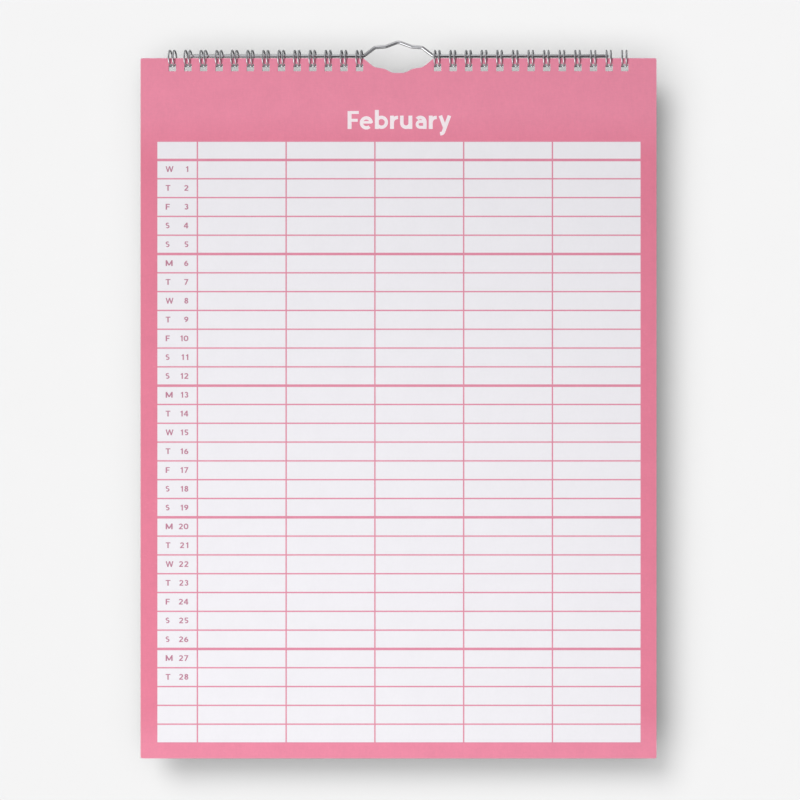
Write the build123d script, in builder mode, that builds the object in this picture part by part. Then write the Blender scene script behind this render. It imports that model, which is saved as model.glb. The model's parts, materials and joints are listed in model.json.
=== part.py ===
from build123d import *
import math
import os

# Wall calendar: punched leaves and a back board held by two combs of twin wire
# loops, and hung from a bent-wire hanger that runs inside the loops.
# Lengths are millimetres. +Z is up and the print faces -Y. The origin is the nail
# seat, under the top of the hanger's hump.

# Sheets
sheet_width = 280.0
sheet_height = 380.0
sheet_corner_radius = 1.0
leaf_thickness = 0.12
leaves_behind = 10
leaf_gap = 0.1  # air behind the leaf on show
board_thickness = 0.6

# Punched holes
loop_pitch = 8.467  # three loops to the inch
pitches_between_combs = 5
hole_side = 4.0
hole_margin = 3.05  # paper above a hole
side_margin = 12.0  # least paper beside the last hole

# Twin loops: each comb is one wire, laid as flat-sided spans
wire_diameter = 0.9
wire_sides = 6
loop_diameter = 9.3  # outside
loop_width = 2.35  # between the two legs of a loop
leg_spans = 10
tip_spans = 3
root_bend = 0.6  # corner between a leg and the spine
tip_gap = 0.3  # between a loop's tip and the spine
spine_clearance = 0.05
hole_clearance = 0.1

# Hanger: one wire, with fewer sides than a round one needs
hanger_wire_diameter = 1.8
hanger_wire_sides = 12
arm_clearance = 0.12  # between an arm and the inside of the loops
arm_angle = 40.0  # where the arms lie in the loops, from the back towards the top
loops_past_arms = 1
hump_height = 7.3  # wire centre at the top of the hump, above the arms
hump_clearance = 0.65  # between the hump's foot and the innermost loops
hump_bend_radius = 2.5
# Corners of one half of the hump, from its foot to its top, as shares of its half
# width and its height.
hump_corner_shares = ((1.0, 0.0), (0.68, 0.6), (0.37, 0.65), (0.07, 1.0))

# Thumb cut in the top edge of every sheet, where the folded hump lies
fold_clearance = 1.555
cut_bend_radius = 6.0
cut_lip_radius = 1.2
# Corners of one half of the cut, from the top edge to its floor, as shares of the
# hump's half width and the cut's depth.
cut_corner_shares = ((1.015, 0.0), (0.7, 0.61), (0.4, 0.72), (0.18, 1.0))

# The stack of sheets, front to back, measured from the middle of the loops. The
# spine of the combs lies between the last leaf and the board.
block_thickness = leaves_behind * leaf_thickness
spine_gap = wire_diameter + 2 * spine_clearance
stack_thickness = leaf_thickness + leaf_gap + block_thickness + spine_gap + board_thickness
stack_front = -stack_thickness / 2
leaf_back = stack_front + leaf_thickness
block_back = leaf_back + leaf_gap + block_thickness
spine_depth = block_back + spine_gap / 2
board_back = stack_thickness / 2

# One loop: angles run from the back over the top to the front, about its middle
loop_radius = (loop_diameter - wire_diameter) / 2
spine_angle = -math.acos(spine_depth / loop_radius)
tip_angle = spine_angle + 2 * math.pi - (wire_diameter + tip_gap) / loop_radius
tip_radius = loop_width / 2
leg_start = spine_angle + root_bend / loop_radius
leg_end = tip_angle - tip_radius / loop_radius
leg_step = (leg_end - leg_start) / leg_spans
loop_clear_radius = loop_radius * math.cos(leg_step / 2) - wire_diameter / 2

# Where the loops and the sheets hang, seen from the nail seat
arm_radius = hanger_wire_diameter / 2
arm_reach = loop_clear_radius - arm_clearance - arm_radius
arm_z = arm_radius - hump_height
loop_y = -arm_reach * math.cos(math.radians(arm_angle))
loop_z = arm_z - arm_reach * math.sin(math.radians(arm_angle))
loop_rise = math.sqrt(loop_clear_radius**2 - stack_front**2) - hole_margin - hole_clearance
sheet_top = loop_z - loop_rise

# Places along the top edge
first_loop = pitches_between_combs * loop_pitch / 2
last_loop_room = sheet_width / 2 - side_margin - hole_side / 2
loops_per_comb = int((last_loop_room - first_loop) / loop_pitch) + 1
loop_places = [first_loop + n * loop_pitch for n in range(loops_per_comb)]
arm_end = loop_places[-1 - loops_past_arms]
hump_half_width = first_loop - tip_radius - wire_diameter / 2 - hump_clearance
cut_depth = hump_height + arm_radius + fold_clearance - (arm_z - sheet_top)


def both_halves(half):
    """Corners of a shape that is alike on both sides, from its right half."""
    return half + [(-x, height) for x, height in reversed(half)]


# Face of a sheet: its rounded outline with the thumb cut, and the punched holes
cut_corners = [(x * hump_half_width, -depth * cut_depth) for x, depth in cut_corner_shares]
sheet_corners = both_halves([(sheet_width / 2, -sheet_height), (sheet_width / 2, 0), *cut_corners])
half_radii = [sheet_corner_radius, sheet_corner_radius, cut_lip_radius]
half_radii += [cut_bend_radius] * (len(cut_corners) - 1)
with BuildSketch() as sheet_face:
    with BuildLine():
        FilletPolyline(*sheet_corners, radius=half_radii + half_radii[::-1], close=True)
    make_face()
    hole_height = -hole_margin - hole_side / 2
    with Locations(*[(side * x, hole_height) for side in (-1, 1) for x in loop_places]):
        Rectangle(hole_side, hole_side, mode=Mode.SUBTRACT)


def sheet_plane(back):
    """Plane of a sheet's back, with its local origin at the middle of the top edge."""
    return Plane((0, loop_y + back, sheet_top), x_dir=(1, 0, 0), z_dir=(0, -1, 0))


os.makedirs("parts", exist_ok=True)

# Leaf on show
with BuildPart() as month_leaf:
    with BuildSketch(sheet_plane(leaf_back)):
        add(sheet_face.sketch)
    extrude(amount=leaf_thickness)
month_leaf.part.label = "month_leaf"
export_step(month_leaf.part, "parts/month_leaf.step")

# Leaves of the months that follow, lying close together
with BuildPart() as leaf_block:
    with BuildSketch(sheet_plane(block_back)):
        add(sheet_face.sketch)
    extrude(amount=block_thickness)
leaf_block.part.label = "leaf_block"
export_step(leaf_block.part, "parts/leaf_block.step")

# Back board
with BuildPart() as back_board:
    with BuildSketch(sheet_plane(board_back)):
        add(sheet_face.sketch)
    extrude(amount=board_thickness)
back_board.part.label = "back_board"
export_step(back_board.part, "parts/back_board.step")


def on_loop(x, angle):
    """Point on the round of a loop, at a distance along the comb."""
    return (x, loop_y + loop_radius * math.cos(angle), loop_z + loop_radius * math.sin(angle))


# One loop of a comb, from the middle of one stretch of spine to the middle of the next
left_leg = [on_loop(-tip_radius, leg_start + n * leg_step) for n in range(leg_spans + 1)]
right_leg = [(-x, y, z) for x, y, z in reversed(left_leg)]
tip_turns = [math.pi * n / tip_spans for n in range(1, tip_spans)]
tip = [
    on_loop(-tip_radius * math.cos(turn), leg_end + tip_radius * math.sin(turn) / loop_radius)
    for turn in tip_turns
]
spine = [on_loop(-loop_pitch / 2, spine_angle), on_loop(-tip_radius - root_bend, spine_angle)]
spine_on = [(-x, y, z) for x, y, z in reversed(spine)]
with BuildPart() as twin_loop:
    with BuildLine():
        Polyline(*spine, *left_leg, *tip, *right_leg, *spine_on)
    with BuildSketch(Plane(spine[0], x_dir=(0, 1, 0), z_dir=(1, 0, 0))):
        RegularPolygon(wire_diameter / 2, wire_sides)
    sweep(transition=Transition.RIGHT)

# Left comb
with BuildPart() as left_wire_comb:
    with Locations(*[(-x, 0, 0) for x in loop_places]):
        add(twin_loop.part)
left_wire_comb.part.label = "left_wire_comb"
export_step(left_wire_comb.part, "parts/left_wire_comb.step")

# Right comb
with BuildPart() as right_wire_comb:
    with Locations(*[(x, 0, 0) for x in loop_places]):
        add(twin_loop.part)
right_wire_comb.part.label = "right_wire_comb"
export_step(right_wire_comb.part, "parts/right_wire_comb.step")

# Hanger: straight arms and a stepped hump for the nail
hump_corners = [(x * hump_half_width, arm_z + up * hump_height) for x, up in hump_corner_shares]
hanger_corners = both_halves([(arm_end, arm_z), *hump_corners])
with BuildPart() as hanger:
    with BuildLine(Plane.XZ):
        FilletPolyline(*hanger_corners, radius=hump_bend_radius)
    with BuildSketch(Plane((arm_end, 0, arm_z), x_dir=(0, 1, 0), z_dir=(-1, 0, 0))):
        RegularPolygon(arm_radius, hanger_wire_sides)
    sweep()
hanger.part.label = "hanger"
export_step(hanger.part, "parts/hanger.step")
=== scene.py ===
"""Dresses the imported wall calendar: printed leaves, wire combs, a bent hanger and a pale wall.

Lengths in the classes are millimetres unless a name says otherwise, and meshes are metres.
"""

import json
import logging
import math
import random
from dataclasses import dataclass
from enum import Enum
from functools import reduce

import bmesh
import bpy
from bmesh.types import BMEdge, BMesh, BMFace, BMVert
from bpy.types import Material, Node, NodeSocket, NodeTree, Object
from mathutils import Matrix, Vector


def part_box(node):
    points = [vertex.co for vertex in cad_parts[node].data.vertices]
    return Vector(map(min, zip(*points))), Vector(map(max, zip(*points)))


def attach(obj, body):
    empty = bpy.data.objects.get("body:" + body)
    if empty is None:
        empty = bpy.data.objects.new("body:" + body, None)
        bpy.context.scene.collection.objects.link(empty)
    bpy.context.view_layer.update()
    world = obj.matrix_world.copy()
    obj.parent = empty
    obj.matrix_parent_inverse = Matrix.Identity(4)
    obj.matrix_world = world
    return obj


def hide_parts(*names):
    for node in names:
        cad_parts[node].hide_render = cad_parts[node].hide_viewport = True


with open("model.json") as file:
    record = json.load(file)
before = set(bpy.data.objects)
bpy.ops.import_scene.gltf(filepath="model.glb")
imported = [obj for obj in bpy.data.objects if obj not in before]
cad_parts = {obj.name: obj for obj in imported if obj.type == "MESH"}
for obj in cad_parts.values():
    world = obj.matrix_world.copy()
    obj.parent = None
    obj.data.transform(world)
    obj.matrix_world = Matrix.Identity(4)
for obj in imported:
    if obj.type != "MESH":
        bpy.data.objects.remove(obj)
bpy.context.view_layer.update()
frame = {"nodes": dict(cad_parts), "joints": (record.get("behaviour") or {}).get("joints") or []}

MM = 0.001  # one millimetre in metres

log = logging.getLogger("calendar")

Colour = tuple[float, float, float]
Point = tuple[float, float, float]


class Body(Enum):
    """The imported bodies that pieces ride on."""

    HANGER = "hanger"
    BINDING = "binding"
    MONTH_LEAF = "month_leaf"


class Slot(Enum):
    """The record's material slots for the scene's own pieces; nothing in this script assigns them."""

    PRINTED_PAPER = "printed_paper"
    LEAF_PAPER = "leaf_paper"
    LOOP_WIRE = "loop_wire"
    HANGER_WIRE = "hanger_wire"


def joint_point(name: str) -> Vector:
    """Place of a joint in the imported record.

    Args:
        name: the joint's name.

    Returns:
        The joint's point in the row frame, in metres.
    """
    joint = next(joint for joint in frame["joints"] if joint["name"] == name)
    return Vector(joint["pos_m"])


def show(name: str, bm: BMesh, material: Material) -> Object:
    """Turns a bmesh into an object at the origin with one material.

    Args:
        name: the piece's name.
        bm: the finished shape, which is freed.
        material: the finish of every face.

    Returns:
        The new object, linked to the scene.
    """
    mesh = bpy.data.meshes.new(name)
    bm.to_mesh(mesh)
    bm.free()
    mesh.materials.append(material)
    piece = bpy.data.objects.new(name, mesh)
    bpy.context.scene.collection.objects.link(piece)
    return piece


def carry(piece: Object, body: Body, stands_for: str | None = None) -> None:
    """Gives a piece its body and the CAD node that it stands for.

    Args:
        piece: the finished object.
        body: the body that it moves with.
        stands_for: the CAD node that the piece replaces, if any.
    """
    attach(piece, body.value)
    if stands_for:
        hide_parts(stands_for)
    log.info("%s rides on %s, %d faces", piece.name, body.value, len(piece.data.polygons))


class Graph:
    """Adds nodes to one node tree and links them."""

    def __init__(self, tree: NodeTree) -> None:
        """Takes the tree that the nodes go into."""
        self.tree = tree

    def node(self, kind: str, **settings: object) -> Node:
        """Adds a node.

        Args:
            kind: the node's type without the ShaderNode prefix.
            settings: properties of the node.

        Returns:
            The new node.
        """
        made = self.tree.nodes.new("ShaderNode" + kind)
        for name, value in settings.items():
            setattr(made, name, value)
        return made

    def feed(self, socket: NodeSocket, value: object) -> None:
        """Links a socket to another one, or sets its plain value.

        Args:
            socket: the socket to feed.
            value: a socket, or a plain value.
        """
        if isinstance(value, NodeSocket):
            self.tree.links.new(value, socket)
        else:
            socket.default_value = value

    def result(self, kind: str, inputs: dict[str | int, object], **settings: object) -> NodeSocket:
        """Adds a node and feeds it.

        Args:
            kind: the node's type without the ShaderNode prefix.
            inputs: values or sockets, by the input's name or number.
            settings: properties of the node.

        Returns:
            The node's first output.
        """
        made = self.node(kind, **settings)
        for name, value in inputs.items():
            self.feed(made.inputs[name], value)
        return made.outputs[0]

    def math(self, operation: str, *values: object) -> NodeSocket:
        """A Math node's result for one to three values or sockets."""
        return self.result("Math", dict(enumerate(values)), operation=operation)

    def plus(self, *values: object) -> NodeSocket:
        """The sum of two or more values or sockets."""
        return reduce(lambda first, second: self.math("ADD", first, second), values)

    def times(self, *values: object) -> NodeSocket:
        """The product of two or more values or sockets."""
        return reduce(lambda first, second: self.math("MULTIPLY", first, second), values)

    def minus(self, value: object, less: object) -> NodeSocket:
        """A value or socket, less another one."""
        return self.math("SUBTRACT", value, less)

    def blend(self, share: object, first: object, second: object) -> NodeSocket:
        """Blends two colours.

        Args:
            share: how much of the second colour there is, from 0 to 1.
            first: the first colour.
            second: the second colour.

        Returns:
            The colour between them.
        """
        made = self.node("Mix", data_type="RGBA")
        self.feed(made.inputs["Factor"], share)
        colours = [socket for socket in made.inputs if socket.type == "RGBA"]
        for socket, value in zip(colours, (first, second)):
            self.feed(socket, (*value, 1.0) if isinstance(value, tuple) else value)
        return next(socket for socket in made.outputs if socket.type == "RGBA")

    def shade(self, colour: object, level: object) -> NodeSocket:
        """A colour or a place multiplied by a level."""
        return self.result("VectorMath", {0: colour, "Scale": level}, operation="SCALE")

    def ramp(self, value: object, low: float, high: float, start: float, end: float) -> NodeSocket:
        """A value carried from one range to another, and held at its ends."""
        return self.result("MapRange", dict(enumerate((value, low, high, start, end))), clamp=True)

    def noise(self, place: object, scale: float, detail: float = 2.0) -> NodeSocket:
        """Smooth noise from 0 to 1, at a number of cycles for each unit of the place."""
        return self.result("TexNoise", {"Vector": place, "Scale": scale, "Detail": detail})

    def stretched(self, place: object, along: Point, turn: float = 0.0) -> NodeSocket:
        """A place scaled by axis and turned about Y in radians, for grain that runs one way."""
        return self.result("Mapping", {"Vector": place, "Rotation": (0.0, turn, 0.0), "Scale": along})

    def millimetres(self) -> NodeSocket:
        """Object coordinates in millimetres."""
        place = self.node("TexCoord").outputs["Object"]
        return self.shade(place, 1.0 / MM)


class GroupKit:
    """Builds a node group with named sockets."""

    def __init__(self, name: str, inputs: dict[str, str], outputs: dict[str, str]) -> None:
        """Makes the group and its interface.

        Args:
            name: the group's name.
            inputs: socket types by name.
            outputs: socket types by name.
        """
        self.tree = bpy.data.node_groups.new(name, "ShaderNodeTree")
        for title, kind in inputs.items():
            self.tree.interface.new_socket(title, in_out="INPUT", socket_type=kind)
        for title, kind in outputs.items():
            self.tree.interface.new_socket(title, in_out="OUTPUT", socket_type=kind)
        self.graph = Graph(self.tree)
        self.given = self.tree.nodes.new("NodeGroupInput").outputs
        self.result = self.tree.nodes.new("NodeGroupOutput").inputs

    def put(self, name: str, value: NodeSocket) -> None:
        """Sends a value out of the group."""
        self.graph.feed(self.result[name], value)


def use_group(graph: Graph, tree: NodeTree, **values: object) -> bpy.types.NodeOutputs:
    """Places a node group in a material.

    Args:
        graph: the material's graph.
        tree: the group.
        values: what each input gets, with underscores for spaces in its name.

    Returns:
        The group node's outputs.
    """
    made = graph.tree.nodes.new("ShaderNodeGroup")
    made.node_tree = tree
    for name, value in values.items():
        graph.feed(made.inputs[name.replace("_", " ")], value)
    return made.outputs


FLOAT = "NodeSocketFloat"
VECTOR = "NodeSocketVector"


def paper_fibres() -> NodeTree:
    """Group for paper and card: cloudy formation, fine fibres and small pale flecks.

    Returns:
        The node group, with Shade round 1, Fleck from 0 to 1 and Height from 0 to 1.
    """
    kit = GroupKit(
        "paper_fibres",
        {"Place": VECTOR, "Cloud": FLOAT, "Fibre": FLOAT, "Fleck Share": FLOAT},
        {"Shade": FLOAT, "Fleck": FLOAT, "Height": FLOAT},
    )
    g, given = kit.graph, kit.given
    place = given["Place"]
    cloud = g.minus(g.noise(place, 0.09, 5.0), 0.5)
    level = g.minus(g.noise(g.stretched(place, (0.35, 1.0, 1.0), 0.5), 1.1, 3.0), 0.5)
    cross = g.minus(g.noise(g.stretched(place, (1.0, 1.0, 0.3), -0.3), 1.3, 3.0), 0.5)
    fibre = g.plus(level, cross)
    shade = g.math("MULTIPLY_ADD", cloud, given["Cloud"], 1.0)
    kit.put("Shade", g.math("MULTIPLY_ADD", fibre, given["Fibre"], shade))
    hair = g.noise(g.stretched(place, (0.55, 1.0, 1.2), 0.35), 0.8, 1.0)
    spread = g.ramp(g.noise(place, 0.05, 2.0), 0.4, 0.6, 0.0, 1.0)
    fleck = g.times(g.ramp(hair, 0.64, 0.8, 0.0, 1.0), spread)
    kit.put("Fleck", g.times(fleck, given["Fleck Share"]))
    grain = g.noise(place, 4.0, 3.0)
    kit.put("Height", g.math("MULTIPLY_ADD", fibre, 0.6, grain))
    return kit.tree


@dataclass(frozen=True)
class TableRule:
    """Places of the ruled table on a leaf, from the leaf's middle and its top edge."""

    left: float = -130.87
    top: float = 45.02
    first_column: float = 21.7
    column: float = 48.175
    columns: int = 5
    row: float = 10.207
    rows: int = 32
    thin_line: float = 0.75
    week_line: float = 1.4
    week: int = 7
    header_rows: int = 1

    @property
    def width(self) -> float:
        """Width of the whole table."""
        return self.first_column + self.columns * self.column

    @property
    def height(self) -> float:
        """Height of the whole table."""
        return self.rows * self.row


def ruled_table(rule: TableRule) -> NodeTree:
    """Group for the printed table: bare paper in the cells, ink on the rules and round it.

    Args:
        rule: the table's places and line widths.

    Returns:
        The node group. Bare is 1 where the paper is left white, and Inside is 1 over the whole table.
    """
    kit = GroupKit("ruled_table", {"Across": FLOAT, "Down": FLOAT}, {"Bare": FLOAT, "Inside": FLOAT})
    g, across, down = kit.graph, kit.given["Across"], kit.given["Down"]

    def within(value: object, end: float) -> NodeSocket:
        """1 where a value lies between 0 and an end."""
        past = g.math("GREATER_THAN", value, 0.0)
        return g.times(past, g.math("LESS_THAN", value, end))

    def clear_of(count: object, pitch: float, line: object) -> NodeSocket:
        """1 where a count of pitches is further from a whole number than half a line."""
        off = g.minus(count, g.math("ROUND", count))
        gap = g.times(g.math("ABSOLUTE", off), pitch)
        return g.math("GREATER_THAN", gap, g.times(line, 0.5))

    box = g.times(within(across, rule.width), within(down, rule.height))
    row = g.math("DIVIDE", down, rule.row)
    line = g.math("ROUND", row)
    week_end = g.math("FLOORED_MODULO", g.plus(line, 1.0), float(rule.week))
    header = g.math("COMPARE", line, rule.header_rows, 0.1)
    heavy = g.math("MAXIMUM", g.math("LESS_THAN", week_end, 0.5), header)
    width = g.ramp(heavy, 0.0, 1.0, rule.thin_line, rule.week_line)
    rows = clear_of(row, rule.row, width)
    column = g.math("DIVIDE", g.minus(across, rule.first_column), rule.column)
    first = g.math("MAXIMUM", column, 0.0)
    before = g.math("LESS_THAN", g.times(column, rule.column), -0.5 * rule.thin_line)
    columns = g.math("MAXIMUM", clear_of(first, rule.column, rule.thin_line), before)
    kit.put("Bare", g.times(box, g.times(rows, columns)))
    kit.put("Inside", box)
    return kit.tree


def drawn_wire() -> NodeTree:
    """Group for coated wire: faint clouding, drawing marks and small scuffs.

    Returns:
        The node group, with Shade round 1, Dulling from 0 to 1 and Height from 0 to 1.
    """
    kit = GroupKit(
        "drawn_wire",
        {"Place": VECTOR, "Marks": FLOAT},
        {"Shade": FLOAT, "Dulling": FLOAT, "Height": FLOAT},
    )
    g, place = kit.graph, kit.given["Place"]
    cloud = g.noise(place, 0.7, 4.0)
    marks = g.noise(g.stretched(place, (0.6, 5.0, 5.0)), 2.2, 3.0)
    scuff = g.ramp(g.noise(place, 2.6, 2.0), 0.62, 0.72, 0.0, 1.0)
    kit.put("Shade", g.math("MULTIPLY_ADD", g.minus(cloud, 0.5), 0.25, 1.0))
    kit.put("Dulling", g.math("MAXIMUM", g.times(cloud, 0.6), g.times(scuff, 0.5)))
    kit.put("Height", g.times(marks, kit.given["Marks"]))
    return kit.tree


class Finish:
    """One material, with its Principled shader ready to feed."""

    def __init__(self, name: str) -> None:
        """Makes an empty node material with a Principled shader.

        Args:
            name: the material's name.
        """
        self.material = bpy.data.materials.new(name)
        self.material.use_nodes = True
        self.graph = Graph(self.material.node_tree)
        self.shader = next(n for n in self.material.node_tree.nodes if n.type == "BSDF_PRINCIPLED")

    def set(self, name: str, value: object) -> None:
        """Feeds or sets one socket of the shader."""
        self.graph.feed(self.shader.inputs[name], value)

    def emboss(self, height: NodeSocket, strength: float, depth: float) -> None:
        """Turns a height into the shader's normal.

        Args:
            height: the height, from 0 to 1.
            strength: how strongly the bump shows.
            depth: the height's full depth in millimetres.
        """
        inputs = {"Strength": strength, "Distance": depth * MM, "Height": height}
        self.set("Normal", self.graph.result("Bump", inputs))

    def hide_back(self) -> None:
        """Lets the back of every face be looked through."""
        g = self.graph
        output = next(n for n in self.material.node_tree.nodes if n.type == "OUTPUT_MATERIAL")
        behind = g.node("NewGeometry").outputs["Backfacing"]
        clear = g.node("BsdfTransparent").outputs[0]
        mix = g.result("MixShader", {0: behind, 1: self.shader.outputs[0], 2: clear})
        g.feed(output.inputs["Surface"], mix)


GRAIN = (0.2, 0.8)  # the range of the paper's height that changes its gloss
PAPER_SPECULAR = 0.3


@dataclass(frozen=True)
class PaperFinish:
    """Uncoated paper or card in one colour, with small flecks of another."""

    name: str
    colour: Colour
    cloud: float
    fibre: float
    fleck: float = 0.0
    fleck_colour: Colour = (0.9, 0.89, 0.9)
    roughness: tuple[float, float] = (0.62, 0.8)
    grain_strength: float = 0.25
    grain_depth: float = 0.05

    def build(self, fibres: NodeTree) -> Material:
        """Makes the material.

        Args:
            fibres: the shared paper group.

        Returns:
            The material.
        """
        finish = Finish(self.name)
        g = finish.graph
        grain = use_group(
            g, fibres, Place=g.millimetres(), Cloud=self.cloud, Fibre=self.fibre, Fleck_Share=self.fleck
        )
        colour = g.blend(grain["Fleck"], self.colour, self.fleck_colour)
        finish.set("Base Color", g.shade(colour, grain["Shade"]))
        finish.set("Roughness", g.ramp(grain["Height"], *GRAIN, *self.roughness))
        finish.set("Specular IOR Level", PAPER_SPECULAR)
        if self.grain_strength > 0.0:
            finish.emboss(grain["Height"], self.grain_strength, self.grain_depth)
        return finish.material


@dataclass(frozen=True)
class PrintFinish:
    """A printed leaf: an ink border and rules on the front, bare paper on its edges and back, and
    painted light that lightens the border ink in the head and along the foot.
    """

    name: str
    ink: Colour = (0.81, 0.228, 0.335)
    thin_ink: Colour = (0.872, 0.281, 0.402)  # painted light: a lighter ink in the head and along the foot, as if brighter light fell there
    ink_fleck: Colour = (0.88, 0.34, 0.44)
    head: tuple[float, float] = (30.0, 55.0)  # where the painted lighter ink ends below the top edge
    foot: tuple[float, float] = (355.0, 372.0)  # where it starts again
    foot_share: float = 0.7
    rule_ink: Colour = (0.77, 0.275, 0.385)
    paper: Colour = (0.9, 0.885, 0.925)
    ink_roughness: tuple[float, float] = (0.5, 0.64)
    paper_roughness: float = 0.7
    grain_strength: float = 0.22
    grain_depth: float = 0.05
    ink_depth: float = 0.02  # how deep the front print reaches into the edges

    def build(
        self, fibres: NodeTree, table: NodeTree, rule: TableRule, face: float, top: float
    ) -> Material:
        """Makes the material.

        Args:
            fibres: the shared paper group.
            table: the shared group of the ruled table.
            rule: where the table lies.
            face: Y of the leaf's front face.
            top: Z of the leaf's top edge.

        Returns:
            The material.
        """
        finish = Finish(self.name)
        g = finish.graph
        place = g.millimetres()
        split = g.node("SeparateXYZ")
        g.feed(split.inputs[0], place)
        x, y, z = split.outputs
        across = g.minus(x, rule.left)
        down = g.minus(top - rule.top, z)
        ruled = use_group(g, table, Across=across, Down=down)
        behind = g.math("GREATER_THAN", y, face + self.ink_depth)
        bare = g.math("MAXIMUM", ruled["Bare"], behind)
        printed = use_group(g, fibres, Place=place, Cloud=0.1, Fibre=0.09, Fleck_Share=0.4)
        plain = use_group(g, fibres, Place=place, Cloud=0.04, Fibre=0.03, Fleck_Share=0.0)
        depth = g.minus(top, z)
        # Painted light: the border ink turns lighter towards the top edge and towards the foot,
        # standing in for brighter light there; thin is the share of that lighter ink.
        head_light = g.ramp(depth, *self.head, 1.0, 0.0)
        thin = g.plus(head_light, g.ramp(depth, *self.foot, 0.0, self.foot_share))
        border = g.blend(printed["Fleck"], g.blend(thin, self.ink, self.thin_ink), self.ink_fleck)
        ink = g.shade(g.blend(ruled["Inside"], border, self.rule_ink), printed["Shade"])
        paper = g.shade(self.paper, plain["Shade"])
        finish.set("Base Color", g.blend(bare, ink, paper))
        ink_gloss = g.ramp(printed["Height"], *GRAIN, *self.ink_roughness)
        paper_gloss = g.times(bare, self.paper_roughness)
        finish.set("Roughness", g.math("MAXIMUM", ink_gloss, paper_gloss))
        finish.set("Specular IOR Level", PAPER_SPECULAR)
        finish.emboss(printed["Height"], self.grain_strength, self.grain_depth)
        return finish.material


@dataclass(frozen=True)
class InkFinish(PaperFinish):
    """Flat printing ink, with the paper's unevenness but no grain of its own."""

    cloud: float = 0.08
    fibre: float = 0.08
    roughness: tuple[float, float] = (0.55, 0.7)
    grain_strength: float = 0.0


@dataclass(frozen=True)
class WireFinish:
    """Bright coated steel wire."""

    name: str
    roughness: tuple[float, float]
    colour: Colour = (0.58, 0.58, 0.6)
    marks: float = 1.0
    dulling: tuple[float, float] = (0.2, 0.6)  # the range of the scuffs that changes the gloss
    mark_strength: float = 0.04
    mark_depth: float = 0.02

    def build(self, marks: NodeTree) -> Material:
        """Makes the material.

        Args:
            marks: the shared wire group.

        Returns:
            The material.
        """
        finish = Finish(self.name)
        g = finish.graph
        look = use_group(g, marks, Place=g.millimetres(), Marks=self.marks)
        finish.set("Base Color", g.shade(self.colour, look["Shade"]))
        finish.set("Metallic", 1.0)
        finish.set("Roughness", g.ramp(look["Dulling"], *self.dulling, *self.roughness))
        finish.emboss(look["Height"], self.mark_strength, self.mark_depth)
        return finish.material


class Run:
    """A section carried along a path by straight runs and bends."""

    def __init__(self, bm: BMesh, start: Vector, heading: Vector, rim: list[BMEdge]) -> None:
        """Starts the path.

        Args:
            bm: the bmesh that gets the shape.
            start: where the path begins.
            heading: the direction that it leaves in.
            rim: the section's edges, which are carried along.
        """
        self.bm = bm
        self.point = start.copy()
        self.heading = heading.normalized()
        self.rim = rim

    def straight(self, length: float) -> None:
        """Carries the section straight on.

        Args:
            length: how far.
        """
        made = bmesh.ops.extrude_edge_only(self.bm, edges=self.rim)["geom"]
        verts = [part for part in made if isinstance(part, BMVert)]
        ends = set(verts)
        edges = [part for part in made if isinstance(part, BMEdge)]
        self.rim = [edge for edge in edges if set(edge.verts) <= ends]
        bmesh.ops.translate(self.bm, verts=verts, vec=self.heading * length)
        self.point += self.heading * length

    def bend(self, centre: Vector, axis: Vector, angle: float, steps: int) -> None:
        """Carries the section round an axis.

        Args:
            centre: a point on the axis.
            axis: the axis of the bend.
            angle: how far the path turns, in radians.
            steps: how many spans the bend has.
        """
        verts = list(dict.fromkeys(vert for edge in self.rim for vert in edge.verts))
        made = bmesh.ops.spin(
            self.bm, geom=verts + self.rim, cent=centre, axis=axis, angle=angle, steps=steps
        )["geom_last"]
        self.rim = [part for part in made if isinstance(part, BMEdge)]
        turn = Matrix.Rotation(angle, 3, axis)
        self.point = centre + turn @ (self.point - centre)
        self.heading = turn @ self.heading


class WireRun(Run):
    """One round wire, laid as a bending jig lays it."""

    def __init__(self, bm: BMesh, start: Vector, heading: Vector, radius: float, sides: int) -> None:
        """Starts the wire with one ring.

        Args:
            bm: the bmesh that gets the wire.
            start: where the wire's axis begins.
            heading: the direction that the wire leaves in.
            radius: the wire's radius.
            sides: how many sides its section has.
        """
        turn = heading.to_track_quat("Z", "Y").to_matrix().to_4x4()
        ring = bmesh.ops.create_circle(
            bm, cap_ends=False, radius=radius, segments=sides, matrix=Matrix.Translation(start) @ turn
        )
        edges = [edge for vert in ring["verts"] for edge in vert.link_edges]
        super().__init__(bm, start, heading, list(dict.fromkeys(edges)))


class PenRun(Run):
    """One stroke of a flat pen in the XY plane."""

    UP = Vector((0.0, 0.0, 1.0))
    STEP = 15.0  # degrees that one span of a round stroke turns

    def __init__(self, bm: BMesh, start: Vector, degrees: float, width: float) -> None:
        """Sets the pen down across its heading.

        Args:
            bm: the bmesh that gets the stroke.
            start: where the stroke's middle begins.
            degrees: its heading from the X axis.
            width: the pen's width.
        """
        heading = Matrix.Rotation(math.radians(degrees), 3, "Z") @ Vector((1.0, 0.0, 0.0))
        aside = self.UP.cross(heading) * 0.5 * width
        nib = bm.edges.new((bm.verts.new(start - aside), bm.verts.new(start + aside)))
        super().__init__(bm, start, heading, [nib])

    def turn(self, radius: float, degrees: float) -> None:
        """Draws a round stretch.

        Args:
            radius: the stretch's radius.
            degrees: how far it turns, to the left for positive degrees.
        """
        side = math.copysign(radius, degrees)
        centre = self.point + self.UP.cross(self.heading) * side
        steps = max(2, round(abs(degrees) / self.STEP))
        self.bend(centre, self.UP, math.radians(degrees), steps)


END_SEGMENTS = 3  # spans of a wire end's rounded rim


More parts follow.
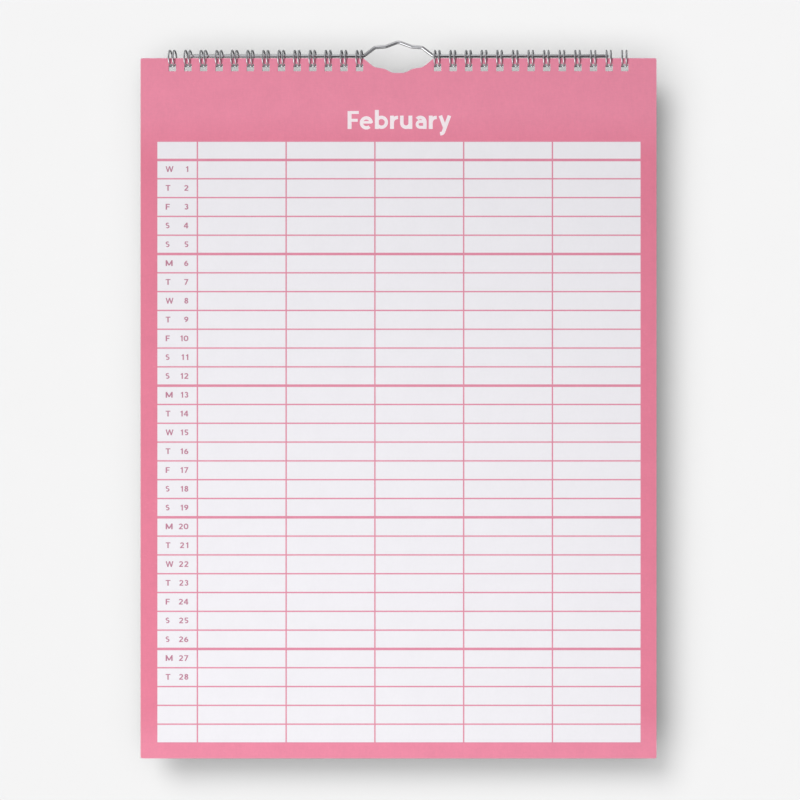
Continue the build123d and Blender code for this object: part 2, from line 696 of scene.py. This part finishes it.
def finish_wire(bm: BMesh, merge: float, rounding: float) -> None:
    """Joins the runs of a wire, closes and rounds its ends, and turns its faces outwards.

    Args:
        bm: the bmesh with the wire.
        merge: the distance within which rings become one.
        rounding: radius of the rounded ends.
    """
    bmesh.ops.remove_doubles(bm, verts=bm.verts, dist=merge)
    rims = [edge for edge in bm.edges if edge.is_boundary]
    bmesh.ops.holes_fill(bm, edges=rims, sides=0)
    bmesh.ops.bevel(
        bm,
        geom=rims,
        offset=rounding,
        offset_type="OFFSET",
        segments=END_SEGMENTS,
        profile=0.5,
        affect="EDGES",
        material=-1,
    )
    bmesh.ops.recalc_face_normals(bm, faces=bm.faces)
    for face in bm.faces:
        face.smooth = True


@dataclass
class WireComb:
    """A row of twin loops bent from one wire."""

    node: str
    wire_diameter: float = 0.9
    wire_sides: int = 12
    loop_diameter: float = 9.3
    loop_width: float = 2.35
    loop_pitch: float = 8.467
    root_bend: float = 0.6
    tip_gap: float = 0.3
    spine_depth: float = 0.41
    leg_steps: int = 30
    root_steps: int = 5
    tip_steps: int = 12
    lean: float = 0.14  # sideways for each millimetre from the spine to the front
    lean_spread: float = 0.02
    merge: float = 0.05  # rings nearer than this become one
    end_rounding: float = 0.15
    seed: int = 7

    def one_loop(self, bm: BMesh, middle: Vector) -> None:
        """Lays one twin loop, from the middle of a stretch of spine to the next.

        Args:
            bm: the bmesh that gets the loop.
            middle: the loop's own centre, in metres.
        """
        radius = 0.5 * (self.loop_diameter - self.wire_diameter)
        spine_angle = -math.acos(self.spine_depth / radius)
        tip_half = 0.5 * self.loop_width
        tip_angle = spine_angle + 2 * math.pi - (self.wire_diameter + self.tip_gap) / radius
        turn = tip_angle - tip_half / radius - spine_angle - self.root_bend / radius
        out = Vector((0.0, math.cos(spine_angle), math.sin(spine_angle)))
        along = Vector((0.0, -math.sin(spine_angle), math.cos(spine_angle)))
        x_axis = Vector((1.0, 0.0, 0.0))
        start = middle + (out * radius - x_axis * 0.5 * self.loop_pitch) * MM
        run = WireRun(bm, start, x_axis, 0.5 * self.wire_diameter * MM, self.wire_sides)
        stretch = (0.5 * self.loop_pitch - tip_half - self.root_bend) * MM
        run.straight(stretch)
        root = self.root_bend * MM
        run.bend(run.point + along * root, x_axis.cross(along), 0.5 * math.pi, self.root_steps)
        run.bend(middle, x_axis, turn, self.leg_steps)
        tip_centre = run.point + x_axis * tip_half * MM
        run.bend(tip_centre, run.heading.cross(x_axis), math.pi, self.tip_steps)
        run.bend(middle, x_axis, -turn, self.leg_steps)
        run.bend(run.point + x_axis * root, run.heading.cross(x_axis), 0.5 * math.pi, self.root_steps)
        run.straight(stretch)

    def build(self, material: Material) -> Object:
        """Lays the whole comb and dresses it.

        Args:
            material: the wire's finish.

        Returns:
            The comb, standing for its CAD node.
        """
        low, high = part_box(self.node)
        pitch = self.loop_pitch * MM
        count = round((high.x - low.x) / pitch)
        centre = joint_point("leaf_turn")
        spine_y = centre.y + self.spine_depth * MM
        draw = random.Random(self.seed)
        bm = bmesh.new()
        for index in range(count):
            before = set(bm.verts)
            along = (index - 0.5 * (count - 1)) * pitch
            self.one_loop(bm, Vector((0.5 * (low.x + high.x) + along, centre.y, centre.z)))
            lean = Matrix.Identity(4)
            lean[0][1] = self.lean + draw.uniform(-self.lean_spread, self.lean_spread)
            about = Matrix.Translation((0.0, -spine_y, 0.0))
            fresh = [vert for vert in bm.verts if vert not in before]
            bmesh.ops.transform(bm, verts=fresh, matrix=lean, space=about)
        finish_wire(bm, self.merge * MM, self.end_rounding * MM)
        piece = show(self.node.replace("wire_comb", "round_wire_comb"), bm, material)
        carry(piece, Body.BINDING, self.node)
        return piece


@dataclass
class Hanger:
    """The bent wire that carries the calendar on a nail."""

    wire_diameter: float = 1.8
    wire_sides: int = 24
    hump_height: float = 7.3
    hump_half_width: float = 18.8925
    bend_radius: float = 2.5
    bend_steps: int = 8
    # Corners of one half of the hump, as shares of its half width and its height
    corner_shares: tuple[tuple[float, float], ...] = (
        (1.0, 0.0),
        (0.68, 0.63),
        (0.37, 0.69),
        (0.04, 1.01),
    )
    merge: float = 0.01  # rings nearer than this become one
    end_rounding: float = 0.25

    def corners(self) -> list[Vector]:
        """Corners of the wire's axis from its right end to its left end, in metres."""
        arm = joint_point("hanger_fold")
        right_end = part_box("hanger")[1].x
        half = [Vector((right_end, arm.y, arm.z))]
        for across, up in self.corner_shares:
            half.append(arm + Vector((across * self.hump_half_width, 0.0, up * self.hump_height)) * MM)
        return half + [Vector((-corner.x, corner.y, corner.z)) for corner in reversed(half)]

    def build(self, material: Material) -> Object:
        """Bends the wire round its corners and dresses it.

        Args:
            material: the wire's finish.

        Returns:
            The hanger, standing for its CAD node.
        """
        corners = self.corners()
        radius = self.bend_radius * MM
        bm = bmesh.new()
        wire_radius = 0.5 * self.wire_diameter * MM
        run = WireRun(bm, corners[0], corners[1] - corners[0], wire_radius, self.wire_sides)
        for corner, following in zip(corners[1:-1], corners[2:]):
            leaving = (following - corner).normalized()
            axis = run.heading.cross(leaving).normalized()
            angle = run.heading.angle(leaving)
            set_back = radius * math.tan(0.5 * angle)
            run.straight((corner - run.point).length - set_back)
            run.bend(run.point + axis.cross(run.heading) * radius, axis, angle, self.bend_steps)
        run.straight((corners[-1] - run.point).length)
        finish_wire(bm, self.merge * MM, self.end_rounding * MM)
        piece = show("round_hanger", bm, material)
        carry(piece, Body.HANGER, "hanger")
        return piece


@dataclass
class LeafStack:
    """The leaves of the months that follow, each one a thin sheet of its own."""

    leaves: int = 10
    air: float = 0.02
    shift: float = 0.08  # how far a leaf may sit off its place, sideways or down
    merge: float = 0.001  # the block's corners nearer than this become one
    seed: int = 3

    def build(self, printed: Material, plain: Material) -> Object:
        """Copies the block's outline into thin leaves.

        Args:
            printed: finish of the front leaf.
            plain: finish of the leaves behind it.

        Returns:
            The stack, standing for the CAD block.
        """
        low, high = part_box("leaf_block")
        pitch = (high.y - low.y) / self.leaves
        thin = Matrix.Diagonal((1.0, (1.0 - self.air * MM / pitch) / self.leaves, 1.0, 1.0))
        draw = random.Random(self.seed)
        bm = bmesh.new()
        bm.from_mesh(frame["nodes"]["leaf_block"].data)
        bmesh.ops.remove_doubles(bm, verts=bm.verts, dist=self.merge * MM)
        about = Matrix.Translation((0.0, -low.y, 0.0))
        bmesh.ops.transform(bm, verts=bm.verts, matrix=thin, space=about)
        for face in bm.faces:
            face.smooth = False
            face.material_index = 0
        first = list(bm.verts) + list(bm.edges) + list(bm.faces)
        for index in range(1, self.leaves):
            made = bmesh.ops.duplicate(bm, geom=first)["geom"]
            verts = [part for part in made if isinstance(part, BMVert)]
            aside = draw.uniform(-self.shift, self.shift) * MM
            down = draw.uniform(-self.shift, 0.0) * MM
            bmesh.ops.translate(bm, verts=verts, vec=(aside, index * pitch, down))
            for part in made:
                if isinstance(part, BMFace):
                    part.material_index = 1
        piece = show("following_leaves", bm, printed)
        piece.data.materials.append(plain)
        carry(piece, Body.BINDING, "leaf_block")
        return piece


@dataclass(frozen=True)
class Stroke:
    """One pen stroke of a letter, in heights of a capital."""

    x: float
    y: float
    heading: float  # degrees from the reading direction
    # Each step is a straight length, or a radius and a turn in degrees
    steps: tuple[float | tuple[float, float], ...]
    pen: float = 0.19


@dataclass(frozen=True)
class Glyph:
    """A letter or figure: the room that it takes along the line, and its strokes."""

    width: float
    strokes: tuple[Stroke, ...]


STEM = 0.22  # pen width of upright strokes
BAR = 0.165  # pen width of level strokes
INK_LAYER = 0.005  # millimetres that a later stroke lies over an earlier one
STROKE_MERGE = 1e-4

GLYPHS: dict[str, Glyph] = {
    "F": Glyph(0.59, (
        Stroke(0.11, 0.0, 90, (1.0,), STEM),
        Stroke(0.0, 0.918, 0, (0.63,), BAR),
        Stroke(0.0, 0.485, 0, (0.57,), BAR),
    )),
    "M": Glyph(1.06, (
        Stroke(0.11, 0.0, 90, (1.0,), STEM),
        Stroke(0.95, 0.0, 90, (1.0,), STEM),
        Stroke(0.1, 0.98, -63.7, (0.96,), 0.2),
        Stroke(0.96, 0.98, -116.3, (0.96,), 0.2),
    )),
    "S": Glyph(0.66, (Stroke(0.496, 0.834, 125, ((0.19, 235), (0.2175, -230)), 0.18),)),
    "T": Glyph(0.72, (
        Stroke(0.0, 0.915, 0, (0.72,), 0.17),
        Stroke(0.36, 0.0, 90, (1.0,), 0.2),
    )),
    "W": Glyph(1.18, (
        Stroke(0.08, 1.0, -75.4, (1.033,), 0.17),
        Stroke(0.59, 1.0, -104.6, (1.033,), 0.17),
        Stroke(0.59, 1.0, -75.4, (1.033,), 0.17),
        Stroke(1.1, 1.0, -104.6, (1.033,), 0.17),
    )),
    "a": Glyph(0.7, (
        Stroke(0.157, 0.558, 50, ((0.245, -140), 0.4), 0.2),
        Stroke(0.59, 0.42, 180, (0.27, (0.1625, 180), 0.27), 0.17),
    )),
    "b": Glyph(0.74, (
        Stroke(0.11, 0.0, 90, (1.06,), STEM),
        Stroke(0.645, 0.3725, 90, ((0.2775, 360),)),
    )),
    "c": Glyph(0.62, (Stroke(0.533, 0.579, 138, ((0.2775, 264),)),)),
    "e": Glyph(0.72, (
        Stroke(0.1, 0.37, 0, (0.55,), 0.14),
        Stroke(0.628, 0.34, 90, ((0.2775, 310),)),
    )),
    "h": Glyph(0.7, (
        Stroke(0.11, 0.0, 90, (1.06,), STEM),
        Stroke(0.11, 0.41, 90, ((0.24, -180), 0.41), 0.2),
    )),
    "r": Glyph(0.44, (
        Stroke(0.11, 0.0, 90, (0.745,), STEM),
        Stroke(0.13, 0.36, 90, ((0.28, -88), 0.05)),
    )),
    "u": Glyph(0.7, (
        Stroke(0.11, 0.745, 270, (0.41, (0.24, 180)), 0.2),
        Stroke(0.59, 0.0, 90, (0.745,), STEM),
    )),
    "y": Glyph(0.7, (
        Stroke(0.1, 0.745, -69.6, (0.78,), 0.2),
        Stroke(0.61, 0.745, -110.4, (0.97, (0.14, -60), 0.08), 0.2),
    )),
    "0": Glyph(0.7, (Stroke(0.1, 0.36, 90, (0.28, (0.25, -180), 0.28, (0.25, -180))),)),
    "1": Glyph(0.56, (
        Stroke(0.42, 0.0, 90, (1.0,)),
        Stroke(0.45, 0.93, 215, (0.32,), 0.16),
    )),
    "2": Glyph(0.68, (
        Stroke(0.129, 0.757, 70, ((0.225, -200), 0.58)),
        Stroke(0.06, 0.085, 0, (0.6,), 0.17),
    )),
    "3": Glyph(0.64, (
        Stroke(0.157, 0.806, 65, ((0.18, -245),)),
        Stroke(0.32, 0.51, 0, ((0.21, -245),)),
    )),
    "4": Glyph(0.7, (
        Stroke(0.47, 0.96, 238.1, (0.78,), 0.17),
        Stroke(0.03, 0.28, 0, (0.66,), 0.16),
        Stroke(0.49, 0.0, 90, (1.0,)),
    )),
    "5": Glyph(0.66, (
        Stroke(0.14, 0.915, 0, (0.48,), 0.17),
        Stroke(0.19, 0.95, 267, (0.42,), 0.17),
        Stroke(0.185, 0.492, 40, ((0.225, -260),)),
    )),
    "6": Glyph(0.68, (
        Stroke(0.57, 0.31, 90, ((0.22, 360),)),
        Stroke(0.13, 0.33, 90, ((0.6, -65),)),
    )),
    "7": Glyph(0.68, (
        Stroke(0.04, 0.915, 0, (0.62,), 0.17),
        Stroke(0.58, 0.93, 248.8, (0.997,)),
    )),
    "8": Glyph(0.7, (
        Stroke(0.525, 0.735, 90, ((0.175, 360),)),
        Stroke(0.555, 0.295, 90, ((0.205, 360),)),
    )),
    "9": Glyph(0.68, (
        Stroke(0.57, 0.69, 90, ((0.22, 360),)),
        Stroke(0.57, 0.67, 270, ((0.6, -65),)),
    )),
}


def draw_words(words: str, gap: float) -> BMesh:
    """Draws words with a pen, flat in XY, with capitals one unit high.

    Args:
        words: what to write.
        gap: the room between letters.

    Returns:
        A new bmesh.
    """
    bm = bmesh.new()
    left = 0.0
    for letter in words:
        glyph = GLYPHS[letter]
        for layer, stroke in enumerate(glyph.strokes):
            start = Vector((left + stroke.x, stroke.y, layer * INK_LAYER))
            run = PenRun(bm, start, stroke.heading, stroke.pen)
            for step in stroke.steps:
                if isinstance(step, tuple):
                    run.turn(*step)
                else:
                    run.straight(step)
        left += glyph.width + gap
    bmesh.ops.remove_doubles(bm, verts=bm.verts, dist=STROKE_MERGE)
    return bm


@dataclass
class Lettering:
    """Plain calendar lettering on one leaf: the month, weekday initials and day numbers."""

    prefix: str
    month: str
    days: int
    body: Body
    face: float  # Y of the leaf's front face
    top: float  # Z of the leaf's top edge
    rule: TableRule
    first_weekday: int = 2
    initials: str = "MTWTFSS"
    letter_gap: float = 0.11
    title_cap: float = 9.75
    title_stretch: float = 0.993
    title_middle: float = 0.45
    title_base: float = 38.4
    day_cap: float = 3.1
    day_stretch: float = 1.16
    day_base: float = 6.5  # baseline below the top of its row
    initial_left: float = -126.4
    number_right: float = -114.1
    ink_depth: float = 0.02

    def set_words(
        self,
        into: BMesh,
        words: str,
        size: tuple[float, float],
        place: tuple[float, float],
        align: float,
    ) -> None:
        """Writes words at a place on the leaf.

        Args:
            into: the bmesh that collects the words.
            words: what to write.
            size: height of a capital, and how far the letters are stretched sideways.
            place: X of the words and their distance below the top edge.
            align: which share of their width lies left of X.
        """
        bm = draw_words(words, self.letter_gap)
        reach = [vert.co.x for vert in bm.verts]
        tall = size[0] * MM
        wide = tall * size[1]
        left = place[0] * MM - wide * (min(reach) + align * (max(reach) - min(reach)))
        stand = Matrix.Rotation(0.5 * math.pi, 4, "X") @ Matrix.Diagonal((wide, tall, MM, 1.0))
        spot = Vector((left, (self.face - self.ink_depth) * MM, (self.top - place[1]) * MM))
        bmesh.ops.transform(bm, verts=bm.verts, matrix=Matrix.Translation(spot) @ stand)
        pressed = bmesh.ops.extrude_face_region(bm, geom=list(bm.faces))["geom"]
        verts = [part for part in pressed if isinstance(part, BMVert)]
        bmesh.ops.translate(bm, verts=verts, vec=(0.0, self.ink_depth * MM, 0.0))
        bmesh.ops.recalc_face_normals(bm, faces=bm.faces)
        mesh = bpy.data.meshes.new("words")
        bm.to_mesh(mesh)
        bm.free()
        into.from_mesh(mesh)
        bpy.data.meshes.remove(mesh)

    def build(self, title_ink: Material, day_ink: Material) -> None:
        """Writes the month, the weekday initials and the day numbers.

        Args:
            title_ink: finish of the month.
            day_ink: finish of the days.
        """
        title, letters, numbers = bmesh.new(), bmesh.new(), bmesh.new()
        title_place = (self.title_middle, self.title_base)
        self.set_words(title, self.month, (self.title_cap, self.title_stretch), title_place, 0.5)
        day_size = (self.day_cap, self.day_stretch)
        for day in range(1, self.days + 1):
            base = self.rule.top + day * self.rule.row + self.day_base
            initial = self.initials[(self.first_weekday + day - 1) % len(self.initials)]
            self.set_words(letters, initial, day_size, (self.initial_left, base), 0.0)
            self.set_words(numbers, str(day), day_size, (self.number_right, base), 1.0)
        for name, bm, ink in (
            ("title", title, title_ink),
            ("weekday_initials", letters, day_ink),
            ("day_numbers", numbers, day_ink),
        ):
            carry(show(f"{self.prefix}_{name}", bm, ink), self.body)


@dataclass(frozen=True)
class SoftLamp:
    """A round soft lamp, in watts and metres."""

    name: str
    watts: float
    width: float
    place: Point
    target: Point


@dataclass(frozen=True)
class DistantLamp:
    """A lamp that is as far away as the sun."""

    name: str
    share: float  # brightness of a white surface that faces it
    softness: float  # its width in degrees
    travel: Point  # the direction that its light goes


@dataclass
class Studio:
    """Camera, soft light and a pale wall close behind the calendar."""

    backdrop: float = 0.913
    wall_gap: float = 24.0
    wall_side: float = 2400.0
    wall_paint: float = 0.1775  # low, so that room light hardly fills the wall lamps' shadow
    camera_distance: float = 1190.0
    camera_x: float = 0.8
    camera_below_top: float = 185.5
    frame_width: float = 434.2
    sensor: float = 36.0
    room_light: float = 0.25
    paper_lamps: tuple[SoftLamp, ...] = (
        SoftLamp("key", 37.5, 0.3, (-0.792, -2.204, -0.863), (0.0, 0.0, -0.2)),
        SoftLamp("low_fill", 0.47, 0.5, (0.014, -0.504, -0.379), (0.014, 0.0, -0.379)),
    )
    wall_lamps: tuple[DistantLamp, ...] = (
        DistantLamp("wall_key", 1.83, 29.4, (0.473, 1.0, -0.655)),
        DistantLamp("wall_room", 0.87, 89.4, (0.0, 1.0, 0.0)),
        DistantLamp("wall_side", 2.71, 74.3, (0.299, 1.0, -0.002)),
    )
    back_lamp: DistantLamp = DistantLamp("back_fill", 0.33, 30.0, (0.25, -1.0, 0.1))
    # What bright wire mirrors
    mirrored_wall: float = 0.36
    wall_foot: float = 0.03
    room_left: float = 0.52
    room_right: float = 0.16
    floor_glow: float = 0.8
    corner_glow: float = 0.3
    ceiling_glow: float = 0.85
    left_glow: float = 0.3
    lamp_glow: float = 2.4
    lamp_way: Point = (-0.5, -0.7, -0.5)  # where the lamp is seen

    def hang(self, name: str, kind: str, travel: Vector, **settings: object) -> Object:
        """Puts a lamp in the scene.

        Args:
            name: the lamp's name.
            kind: Blender's name for its type.
            travel: the direction that its light goes.
            settings: properties of the light.

        Returns:
            The lamp.
        """
        data = bpy.data.lights.new(name, kind)
        for title, value in settings.items():
            setattr(data, title, value)
        lamp = bpy.data.objects.new(name, data)
        bpy.context.scene.collection.objects.link(lamp)
        lamp.rotation_mode = "QUATERNION"
        lamp.rotation_quaternion = travel.to_track_quat("-Z", "Y")
        return lamp

    def sun(self, lamp: DistantLamp) -> Object:
        """Adds a distant lamp."""
        light = {"energy": lamp.share * math.pi, "angle": math.radians(lamp.softness)}
        return self.hang(lamp.name, "SUN", Vector(lamp.travel), **light)

    def softbox(self, lamp: SoftLamp) -> Object:
        """Adds a round soft lamp, which bright wire doesn't mirror.

        Args:
            lamp: what it is like.

        Returns:
            The lamp.
        """
        travel = Vector(lamp.target) - Vector(lamp.place)
        made = self.hang(lamp.name, "AREA", travel, shape="DISK", energy=lamp.watts, size=lamp.width)
        made.location = lamp.place
        made.visible_glossy = False
        made.visible_camera = False
        return made

    def reach(self, lamp: Object, wall: Object, only: bool) -> None:
        """Lets a lamp light only the wall, or everything but the wall.

        Args:
            lamp: the lamp.
            wall: the wall.
            only: True for only the wall.
        """
        group = bpy.data.collections.new(lamp.name + "_reach")
        group.objects.link(wall)
        group.collection_objects[0].light_linking.link_state = "INCLUDE" if only else "EXCLUDE"
        lamp.light_linking.receiver_collection = group

    def wall(self) -> Object:
        """Hangs the pale wall, which takes the calendar's shadow and can't be seen from behind.

        Returns:
            The wall, a part of the stage.
        """
        finish = Finish("wall_paint")
        g = finish.graph
        unevenness = g.ramp(g.noise(g.millimetres(), 0.05), 0.0, 1.0, 0.995, 1.005)
        finish.set("Base Color", g.shade((self.wall_paint,) * 3, unevenness))
        finish.set("Roughness", 1.0)
        finish.set("Specular IOR Level", 0.0)
        finish.hide_back()
        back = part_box("back_board")[1].y
        bm = bmesh.new()
        place = Matrix.Translation((0.0, back + self.wall_gap * MM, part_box("month_leaf")[0].z * 0.5))
        turn = Matrix.Rotation(0.5 * math.pi, 4, "X")
        bmesh.ops.create_grid(
            bm, x_segments=1, y_segments=1, size=0.5 * self.wall_side * MM, matrix=place @ turn
        )
        wall = show("wall", bm, finish.material)
        wall.visible_diffuse = False
        wall.visible_glossy = False
        wall.visible_transmission = False
        wall.visible_shadow = False
        return wall

    def mirrored_room(self, g: Graph, way: NodeSocket) -> NodeSocket:
        """What bright wire mirrors: the shaded wall, a lit ceiling and floor, a lamp and a dim room.

        Args:
            g: the world's graph.
            way: the direction looked in.

        Returns:
            The brightness seen in that direction.
        """
        split = g.node("SeparateXYZ")
        g.feed(split.inputs[0], way)
        x, y, z = split.outputs
        aside = g.math("ABSOLUTE", x)
        near = g.times(g.ramp(z, -0.03, -0.15, 0.0, 1.0), g.ramp(z, -0.6, -0.45, 0.0, 1.0))
        dark = g.times(near, g.ramp(aside, 0.12, 0.32, 0.95, 0.0))
        dim = g.times(g.ramp(x, -0.3, 0.5, self.room_left, self.room_right), g.minus(1.0, dark))
        below = g.times(g.ramp(z, -0.45, -0.75, 0.0, self.floor_glow), g.ramp(y, -0.3, -0.05, 1.0, 0.0))
        floor = g.times(below, g.ramp(x, 0.05, 0.3, 1.0, 0.0))
        corner = g.times(g.ramp(z, -0.4, -0.65, 0.0, 1.0), g.ramp(x, 0.25, 0.45, 0.0, self.corner_glow))
        overhead = g.ramp(z, 0.3, 0.7, 0.0, 1.0)
        ceiling = g.times(overhead, g.ramp(aside, 0.1, 0.4, self.ceiling_glow, 0.0))
        left = g.ramp(x, -0.3, -0.8, 0.0, self.left_glow)
        facing = g.node("VectorMath", operation="DOT_PRODUCT")
        g.feed(facing.inputs[0], way)
        g.feed(facing.inputs[1], Vector(self.lamp_way).normalized())
        lamp = g.ramp(facing.outputs["Value"], 0.86, 0.96, 0.0, self.lamp_glow)
        room = g.plus(dim, ceiling, lamp, floor, left, corner)
        behind = g.ramp(y, -0.15, 0.3, 0.0, 1.0)
        wall = g.ramp(z, -0.5, -0.1, self.wall_foot, self.mirrored_wall)
        return g.plus(room, g.times(behind, g.minus(wall, room)))

    def world(self) -> None:
        """Sets a flat pale backdrop, even room light, and the room that wire mirrors."""
        world = bpy.data.worlds.new("room")
        bpy.context.scene.world = world
        world.use_nodes = True
        g = Graph(world.node_tree)
        shader = next(n for n in world.node_tree.nodes if n.type == "BACKGROUND")
        ray = g.node("LightPath").outputs
        mirrored = self.mirrored_room(g, g.node("TexCoord").outputs["Generated"])
        unseen = g.blend(ray["Is Glossy Ray"], (self.room_light,) * 3, mirrored)
        seen = g.math("MAXIMUM", ray["Is Camera Ray"], ray["Is Transmission Ray"])
        g.feed(shader.inputs["Color"], g.blend(seen, unseen, (self.backdrop,) * 3))
        shader.inputs["Strength"].default_value = 1.0

    def camera(self) -> None:
        """Places the camera square in front of the leaf on show."""
        low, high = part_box("month_leaf")
        data = bpy.data.cameras.new("camera")
        data.sensor_width = self.sensor
        data.lens = self.sensor * self.camera_distance / self.frame_width
        camera = bpy.data.objects.new("camera", data)
        bpy.context.scene.collection.objects.link(camera)
        camera.location = (
            self.camera_x * MM,
            low.y - self.camera_distance * MM,
            high.z - self.camera_below_top * MM,
        )
        camera.rotation_euler = (0.5 * math.pi, 0.0, 0.0)
        bpy.context.scene.camera = camera

    def build(self) -> None:
        """Sets up the camera, the world, the lamps and the wall."""
        bpy.context.scene.view_settings.view_transform = "Standard"
        self.camera()
        self.world()
        wall = self.wall()
        for lamp in self.paper_lamps:
            self.reach(self.softbox(lamp), wall, only=False)
        for lamp in self.wall_lamps:
            self.reach(self.sun(lamp), wall, only=True)
        self.sun(self.back_lamp).visible_glossy = False


def dress(node: str, material: Material) -> None:
    """Gives a CAD node that stays in view its finish.

    Args:
        node: the node's name.
        material: its finish.
    """
    piece = frame["nodes"][node]
    piece.data.materials.clear()
    piece.data.materials.append(material)
    log.info("%s keeps its CAD shape with %s", node, material.name)


def main() -> None:
    """Builds every piece of the calendar, then the studio."""
    logging.basicConfig(level=logging.INFO, format="%(message)s")
    fibres = paper_fibres()
    marks = drawn_wire()
    rule = TableRule()
    table = ruled_table(rule)
    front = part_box("month_leaf")[0].y / MM
    next_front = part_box("leaf_block")[0].y / MM
    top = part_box("month_leaf")[1].z / MM

    month_print = PrintFinish("month_print").build(fibres, table, rule, front, top)
    next_print = PrintFinish("next_print").build(fibres, table, rule, next_front, top)
    plain_paper = PaperFinish("plain_paper", (0.86, 0.85, 0.87), cloud=0.05, fibre=0.05, fleck=0.2)
    grey_card = PaperFinish(
        "grey_card",
        (0.74, 0.725, 0.7),
        cloud=0.12,
        fibre=0.16,
        fleck=0.6,
        fleck_colour=(0.82, 0.8, 0.77),
        grain_depth=0.1,
    )
    title_ink = InkFinish("title_white", (0.99, 0.89, 0.93)).build(fibres)
    day_ink = InkFinish("day_pink", (0.53, 0.225, 0.32)).build(fibres)
    loop_wire = WireFinish("loop_wire", roughness=(0.15, 0.25)).build(marks)
    hanger_wire = WireFinish("hanger_wire", roughness=(0.1, 0.18)).build(marks)

    dress("month_leaf", month_print)
    dress("back_board", grey_card.build(fibres))
    LeafStack().build(next_print, plain_paper.build(fibres))
    WireComb("left_wire_comb", seed=7).build(loop_wire)
    WireComb("right_wire_comb", seed=11).build(loop_wire)
    Hanger().build(hanger_wire)
    for lettering in (
        Lettering("month", "February", 28, Body.MONTH_LEAF, front, top, rule),
        Lettering("next", "March", 31, Body.BINDING, next_front, top, rule),
    ):
        lettering.build(title_ink, day_ink)
    Studio().build()


if __name__ == "__main__":
    main()
